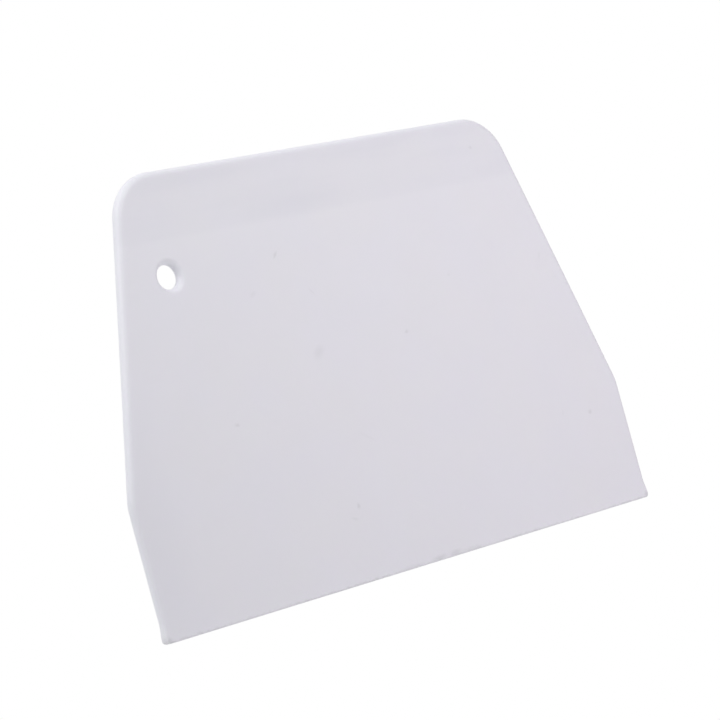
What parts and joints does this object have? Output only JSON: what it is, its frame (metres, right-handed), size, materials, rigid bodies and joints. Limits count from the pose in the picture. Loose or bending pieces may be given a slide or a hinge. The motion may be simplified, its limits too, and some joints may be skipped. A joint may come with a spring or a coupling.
{
  "type": "bench scraper",
  "caption": "One-piece white plastic dough scraper plate: straight scraping edge, sides tapering to a narrower rounded grip edge, and a small hanging hole near one side.",
  "frame": {"origin": "under the middle of the plate's box, on the flat back face that it lies on", "axes": "+X along the scraping edge, +Y from the scraping edge towards the grip edge, +Z out of the front face; the hanging hole is on the -X side"},
  "size_m": [0.197, 0.13, 0.004],
  "materials": {
    "white_plastic": "satin white moulded polyethylene, very slightly translucent, faintly cool, lightly marked by use"
  },
  "bodies": {
    "root": {"scraper_plate": "white_plastic"}
  },
  "joints": []
}
